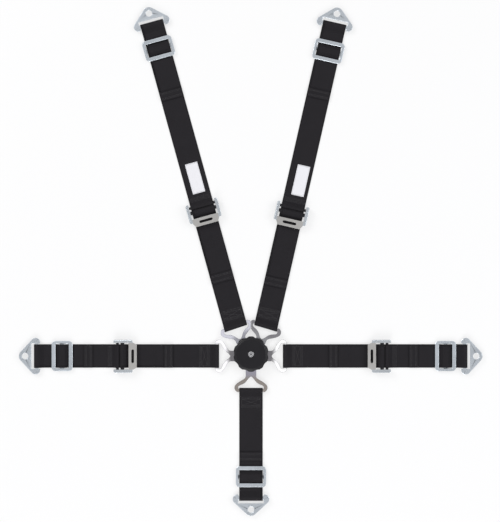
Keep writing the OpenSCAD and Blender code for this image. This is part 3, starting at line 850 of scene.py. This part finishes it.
@dataclass
class Stitches:
    """Rows of sewing thread lying on a belt's face."""

    belt: Belt
    name: str
    rows: list[tuple[Point, Point, float]] = field(default_factory=list)
    pitch: float = 3.2
    radius: float = 0.3

    def row(self, a: Point, b: Point, z: float) -> None:
        """Adds a row from a to b, each (station, across), at height z."""
        self.rows.append((a, b, z))

    def box(self, low: Point, high: Point, z: float, crossed: bool = False) -> None:
        """Adds a sewn box.

        Args:
            low: One corner.
            high: The opposite corner.
            z: Height of the thread.
            crossed: Whether the box has its diagonals.
        """
        (s0, y0), (s1, y1) = low, high
        for a, b in (((s0, y0), (s1, y0)), ((s1, y0), (s1, y1)), ((s1, y1), (s0, y1)), ((s0, y1), (s0, y0))):
            self.row(a, b, z)
        if crossed:
            self.row((s0, y0), (s1, y1), z)
            self.row((s0, y1), (s1, y0), z)

    def build(self, material: bpy.types.Material) -> bpy.types.Object:
        """Makes one mesh of every stitch.

        Args:
            material: Thread material.

        Returns:
            The stitches.
        """
        verts: list[Vector] = []
        faces: list[list[int]] = []
        sides = 6
        rings = ((-0.5, 0.25), (-0.32, 0.9), (0.0, 1.0), (0.32, 0.9), (0.5, 0.25))
        for (s0, y0), (s1, y1), z in self.rows:
            span = math.hypot(s1 - s0, y1 - y0)
            count = max(1, round(span / self.pitch))
            ds, dy = (s1 - s0) / span, (y1 - y0) / span
            size = span / count
            for k in range(count):
                mid = (k + 0.5) * size
                base = len(verts)
                for along, swell in rings:
                    dist = mid + along * size * 0.86
                    lift = -0.45 * abs(along) * 2 * self.radius
                    for j in range(sides):
                        a = 2 * math.pi * j / sides
                        out = self.radius * swell * math.cos(a)
                        up = self.radius * swell * math.sin(a) + lift
                        at = (s0 + ds * dist - dy * out, y0 + dy * dist + ds * out, z + up)
                        verts.append(self.belt.point(*at))
                for r in range(len(rings) - 1):
                    for j in range(sides):
                        q = (j + 1) % sides
                        faces.append([base + r * sides + j, base + r * sides + q,
                                      base + (r + 1) * sides + q, base + (r + 1) * sides + j])
                faces.append([base + j for j in range(sides)][::-1])
                faces.append([base + (len(rings) - 1) * sides + j for j in range(sides)])
        mesh = bpy.data.meshes.new(self.name)
        mesh.from_pydata([tuple(v) for v in verts], [], faces)
        mesh.materials.append(material)
        mesh.shade_smooth()
        made = bpy.data.objects.new(self.name, mesh)
        bpy.context.collection.objects.link(made)
        return made


@dataclass
class Harness:
    """Base of every sub-assembly: it builds pieces, then dresses the CAD nodes it keeps."""

    palette: Palette

    def keep(self, node: str, material: bpy.types.Material, bevel: float = 0.35, segments: int = 2) -> None:
        """Gives a CAD node its finish and softened edges.

        Args:
            node: CAD node name.
            material: Its material.
            bevel: Width of the edge rounding in mm, or 0 for none.
            segments: Bevel segments.
        """
        piece = frame["nodes"][node]
        piece.data.materials.clear()
        piece.data.materials.append(material)
        if bevel:
            weld = piece.modifiers.new("weld", "WELD")
            weld.merge_threshold = 1e-6
            edge = piece.modifiers.new("edge", "BEVEL")
            edge.width = bevel * MM
            edge.segments = segments
            edge.limit_method = "ANGLE"
            edge.angle_limit = math.radians(38)
            edge.harden_normals = False
            shade = piece.modifiers.new("shade", "WEIGHTED_NORMAL")
            shade.keep_sharp = True
        LOG.info("kept %s with %s", node, material.name)

    def place(self, piece: bpy.types.Object, body: str, slot: str, *nodes: str) -> None:
        """Puts a new piece on its body and has it stand for CAD nodes.

        Args:
            piece: The piece.
            body: Body that it rides on.
            slot: Not used.
            nodes: CAD nodes that it replaces.
        """
        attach(piece, body)
        if nodes:
            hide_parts(*nodes)
        LOG.info("built %s on %s", piece.name, body)


@dataclass
class BuckleUnit(Harness):
    """The rotary buckle."""

    def build(self) -> None:
        """Nothing of the buckle is rebuilt: its CAD shapes are kept."""

    def dress(self) -> None:
        """Gives the buckle's pieces their finishes."""
        self.keep("knob", self.palette.knob, 0.5, 3)
        self.keep("base_body", self.palette.body, 0.4)
        self.keep("knob_washer", self.palette.centre, 0.25)
        self.keep("centre_screw", self.palette.screw, 0.2)
        for node in ("pin_plate", "cam_ring", "lock_pins", "rear_screws"):
            self.keep(node, self.palette.inner, 0.0)
        for node in ("pin_springs", "return_spring"):
            self.keep(node, self.palette.bar, 0.0)


@dataclass
class BeltUnit(Harness):
    """What every belt has: a tongue, a slide and an end plate."""

    belt: Belt

    def hardware(self) -> None:
        """Dresses the plates that every belt carries."""
        name = self.belt.name
        self.keep(name + "_tongue", self.palette.tongues[name], 0.75, 3)
        self.keep(name + "_slide", self.palette.zinc, 1.15, 4)
        self.keep(name + "_end_plate", self.palette.zinc, 1.0, 4)

    def end_stretch(self, first: list[Point]) -> list[Point]:
        """Path over the slide, round the end plate's bar and back to the hemmed end.

        Args:
            first: Path up to the slide.

        Returns:
            The whole path.
        """
        b = self.belt
        low = offset(over_slide(b.slide_s), -WEB_T / 2)
        high = offset(over_slide(b.slide_s), WEB_T / 2)
        radius = b.end_z - WEB_T / 2
        hem_at = b.return_s + WEB_T / 2 + 0.1
        hem = arc((hem_at, 2 * WEB_T), WEB_T / 2, 270, 90, 8)
        return (first + low + loop((b.end_s, b.end_z), radius, 1.5 * WEB_T, Fold.FAR) + high[::-1]
                + [(hem_at + 3, 1.5 * WEB_T)] + hem + [(b.return_s + 20, 2.5 * WEB_T)])

    def tongue_start(self) -> list[Point]:
        """Path from the sewn end under the belt, round the tongue's bar and down to one layer."""
        b = self.belt
        radius = b.bar_z - WEB_T / 2
        return ([(SEWN_TO, WEB_T / 2)] + loop((0, b.bar_z), radius, 1.5 * WEB_T, Fold.NEAR)
                + [(SEWN_TO + 1, 1.5 * WEB_T), (SEWN_TO + 5, WEB_T / 2)])

    def sewn_end(self, stitches: Stitches, start: float, stop: float, z: float) -> None:
        """Sews a loop's end down on both faces: rows across it and a crossed box between them.

        Args:
            stitches: Sewing that takes the rows.
            start: First row's station.
            stop: Last row's station.
            z: Height of the thread on the upper face.
        """
        for level in (z, 0.0):
            for s in (start, start + 2.5, stop - 2.5, stop):
                stitches.row((s, -SEAM), (s, SEAM), level)
            stitches.box((start + 4.5, 2 - SEAM), (stop - 4.5, SEAM - 2), level, True)

    def sewn_hem(self, stitches: Stitches, start: float, z: float, length: float = 16.0) -> None:
        """Sews a loose end's hem.

        Args:
            stitches: Sewing that takes the rows.
            start: Station of the hem's edge.
            z: Height of the thread.
            length: Station of the last row, from the edge.
        """
        for s in (start + 3, start + 5.4, start + length - 2.4, start + length):
            stitches.row((s, -SEAM - 0.5), (s, SEAM + 0.5), z)


@dataclass
class CrotchBelt(BeltUnit):
    """The short belt without an adjuster."""

    def build(self) -> None:
        """Builds the webbing and its stitching."""
        b = self.belt
        strap = Strap(b, "crotch_strap", self.end_stretch(self.tongue_start()))
        self.place(strap.build(self.palette.webbing), "crotch_belt", "webbing", "crotch_webbing")
        sewing = Stitches(b, "crotch_stitching")
        self.sewn_end(sewing, 15.0, SEWN_TO - 1, 2 * WEB_T + THREAD_UP)
        self.sewn_hem(sewing, b.return_s, 3 * WEB_T + THREAD_UP)
        self.place(sewing.build(self.palette.thread), "crotch_belt", "webbing")

    def dress(self) -> None:
        """Dresses the kept hardware."""
        self.hardware()


@dataclass
class AdjustedBelt(BeltUnit):
    """A shoulder or lap belt with its tilt adjuster."""

    crease_mm: float = 69.0  # distance from the lock bar to the crease where the belt was folded for storage

    def build(self) -> None:
        """Builds the inner belt, its loose end, the outer belt and their stitching."""
        b, name = self.belt, self.belt.name
        inner = Strap(b, name + "_inner_strap", self.tongue_start() + [(b.lock_s - 0.3, WEB_T / 2)],
                      skew_to=SEWN_TO + 6)
        made = inner.build(self.palette.webbing)
        self.place(made, name + "_inner_belt", "webbing", name + "_inner_webbing")
        radius = b.lock_z - WEB_T / 2
        level = 1.5 * WEB_T + 0.3
        hem = arc((b.tail_s + WEB_T / 2, level + WEB_T / 2), WEB_T / 2, 270, 90, 8)
        crease = b.lock_s - self.crease_mm
        ridge = [(crease + 3, level), (crease + 1, level + CREASE_H), (crease - 1, level + CREASE_H),
                 (crease - 3, level)]
        wrap = ([(b.lock_s - 0.2, WEB_T / 2)] + loop((b.lock_s + DRAWN, b.lock_z), radius, level, Fold.FAR)
                + ridge + [(b.tail_s + 3, level)] + hem + [(b.tail_s + 20, level + WEB_T)])
        tail = Strap(b, name + "_tail_strap", wrap)
        self.place(tail.build(self.palette.webbing), name + "_feed", "webbing", name + "_tail_webbing")
        p = b.cross_s
        radius = b.cross_z - WEB_T / 2
        first = ([(p + CROSS_SEWN, WEB_T / 2)] + loop((p - DRAWN, b.cross_z), radius, 1.5 * WEB_T, Fold.NEAR)
                 + [(p + CROSS_SEWN + 1, 1.5 * WEB_T), (p + CROSS_SEWN + 5, WEB_T / 2)])
        outer = Strap(b, name + "_outer_strap", self.end_stretch(first))
        made = outer.build(self.palette.webbing)
        self.place(made, name + "_outer_belt", "webbing", name + "_outer_webbing")
        sewing = Stitches(b, name + "_inner_stitching")
        self.sewn_end(sewing, 16.0, SEWN_TO - 1, 2 * WEB_T + THREAD_UP)
        self.place(sewing.build(self.palette.thread), name + "_inner_belt", "webbing")
        sewing = Stitches(b, name + "_tail_stitching")
        self.sewn_hem(sewing, b.tail_s, level + 1.5 * WEB_T + THREAD_UP)
        self.place(sewing.build(self.palette.thread), name + "_feed", "webbing")
        sewing = Stitches(b, name + "_outer_stitching")
        for back in (7.5, 5.0, 2.5, 0.0):
            for level in (2 * WEB_T + THREAD_UP, 0.0):
                s = p + CROSS_SEWN - back
                sewing.row((s, -SEAM), (s, SEAM), level)
        self.sewn_hem(sewing, b.return_s, 3 * WEB_T + THREAD_UP)
        self.place(sewing.build(self.palette.thread), name + "_outer_belt", "webbing")

    def dress(self) -> None:
        """Dresses the kept hardware."""
        name = self.belt.name
        self.hardware()
        b = self.belt
        finish = self.palette.adjuster.build(b.origin, b.side, WEB_W / 2 + 3.2)
        self.keep(name + "_adjuster_frame", finish, 0.7, 3)
        # The lock bar and cross pin take the near-black colour painted as shade.
        self.keep(name + "_lock_bar", self.palette.bar, 0.3)
        self.keep(name + "_cross_pin", self.palette.bar, 0.4)


@dataclass
class ShoulderBelt(AdjustedBelt):
    """An adjusted belt that also carries a plain sewn label."""

    crease_mm: float = 78.0

    def build(self) -> None:
        """Builds the belt and its label."""
        super().build()
        b, name = self.belt, self.belt.name
        node = frame["nodes"][name + "_label"]
        corners = [Vector((v.co.x, v.co.y, 0)) - b.origin for v in node.data.vertices]
        stations = [c.dot(b.heading) / MM for c in corners]
        across = [c.dot(b.side) / MM for c in corners]
        low, high = min(stations), max(stations)
        left, right = min(across), max(across)
        middle = WEB_T + 0.28
        patch = Strap(b, name + "_label_patch", [(low, middle), (high, middle)],
                      width=right - left, thickness=LABEL_T, shift=(left + right) / 2)
        self.place(patch.build(self.palette.label), name + "_outer_belt", "label", name + "_label")
        sewing = Stitches(b, name + "_label_stitching", pitch=2.4, radius=0.2)
        sewing.box((low + 1.6, left + 1.5), (high - 1.6, right - 1.5), WEB_T + 0.62)
        self.place(sewing.build(self.palette.label_edge), name + "_outer_belt", "label")


# ---------------------------------------------------------------- studio


@dataclass
class Studio:
    """Pale floor, soft light and the camera looking straight down."""

    centre: tuple[float, float] = (-0.0021, 0.1975)
    covers: float = 1.112
    distance: float = 3.0
    floor_half: float = 40.0

    def floor(self) -> None:
        """Adds the floor."""
        mesh = bpy.data.meshes.new("floor")
        r, z = self.floor_half, -0.4 * MM
        mesh.from_pydata([(-r, -r, z), (r, -r, z), (r, r, z), (-r, r, z)], [], [[0, 1, 2, 3]])
        mesh.materials.append(FloorFinish().build())
        made = bpy.data.objects.new("floor", mesh)
        bpy.context.collection.objects.link(made)

    def lamp(self, name: str, at: Sequence[float], size: float, power: float, tint: Sequence[float]) -> None:
        """Adds a square softbox aimed at the harness.

        Args:
            name: Lamp's name.
            at: Its place, in metres.
            size: Length of its side.
            power: Its power, in watts.
            tint: Its colour.
        """
        data = bpy.data.lights.new(name, "AREA")
        data.shape = "SQUARE"
        data.size = size
        data.energy = power
        data.color = tint
        made = bpy.data.objects.new(name, data)
        made.location = at
        aim = Vector((self.centre[0], self.centre[1], 0)) - Vector(at)
        made.rotation_euler = aim.to_track_quat("-Z", "Y").to_euler()
        bpy.context.collection.objects.link(made)

    def world(self) -> None:
        """Sets a pale dome that is darker near the horizon."""
        world = bpy.data.worlds.new("studio")
        world.use_nodes = True
        nodes, links = world.node_tree.nodes, world.node_tree.links
        nodes.clear()
        out = nodes.new("ShaderNodeOutputWorld")
        back = nodes.new("ShaderNodeBackground")
        place = nodes.new("ShaderNodeTexCoord")
        split = nodes.new("ShaderNodeSeparateXYZ")
        ramp = nodes.new("ShaderNodeValToRGB")
        stops = ((0.0, 0.06), (0.35, 0.4), (0.62, 1.2), (0.8, 1.0), (0.93, 0.66), (1.0, 0.56))
        while len(ramp.color_ramp.elements) < len(stops):
            ramp.color_ramp.elements.new(0.5)
        for element, (at, level) in zip(ramp.color_ramp.elements, stops, strict=True):
            element.position = at
            element.color = (level, level, level * 1.02, 1)
        links.new(place.outputs["Generated"], split.inputs[0])
        links.new(split.outputs[2], ramp.inputs[0])
        links.new(ramp.outputs[0], back.inputs[0])
        links.new(back.outputs[0], out.inputs[0])
        back.inputs[1].default_value = 1.0
        bpy.context.scene.world = world

    def camera(self) -> None:
        """Adds the camera straight above the harness."""
        data = bpy.data.cameras.new("camera")
        data.sensor_width = 36.0
        data.lens = 36.0 * self.distance / self.covers
        made = bpy.data.objects.new("camera", data)
        made.location = (self.centre[0], self.centre[1], self.distance + 0.005)
        bpy.context.collection.objects.link(made)
        bpy.context.scene.camera = made

    def build(self) -> None:
        """Sets the whole stage."""
        self.floor()
        self.world()
        self.lamp("key", (-2.3, 2.2, 2.1), 1.5, 47.0, (1.0, 0.99, 0.98))
        self.lamp("fill", (2.6, 0.4, 1.9), 1.7, 28.0, (0.97, 0.98, 1.0))
        self.lamp("rim", (-0.4, -2.4, 1.7), 1.5, 30.0, (1.0, 1.0, 1.0))
        self.camera()
        bpy.context.scene.view_settings.view_transform = "Standard"
        LOG.info("studio set")


def report_sizes() -> None:
    """Does nothing: no sizes are measured or written."""
    LOG.info("sizes written")


def main() -> None:
    """Builds, dresses and lights the harness."""
    logging.basicConfig(level=logging.INFO, format="%(name)s: %(message)s")
    Studio().build()
    palette = Palette.make()
    units: list[Harness] = [BuckleUnit(palette)]
    units += [ShoulderBelt(palette, Belt.read(n)) for n in ("left_shoulder", "right_shoulder")]
    units += [AdjustedBelt(palette, Belt.read(n)) for n in ("left_lap", "right_lap")]
    units.append(CrotchBelt(palette, Belt.read("crotch")))
    for unit in units:
        unit.build()
        unit.dress()
    report_sizes()


if __name__ == "__main__":
    main()
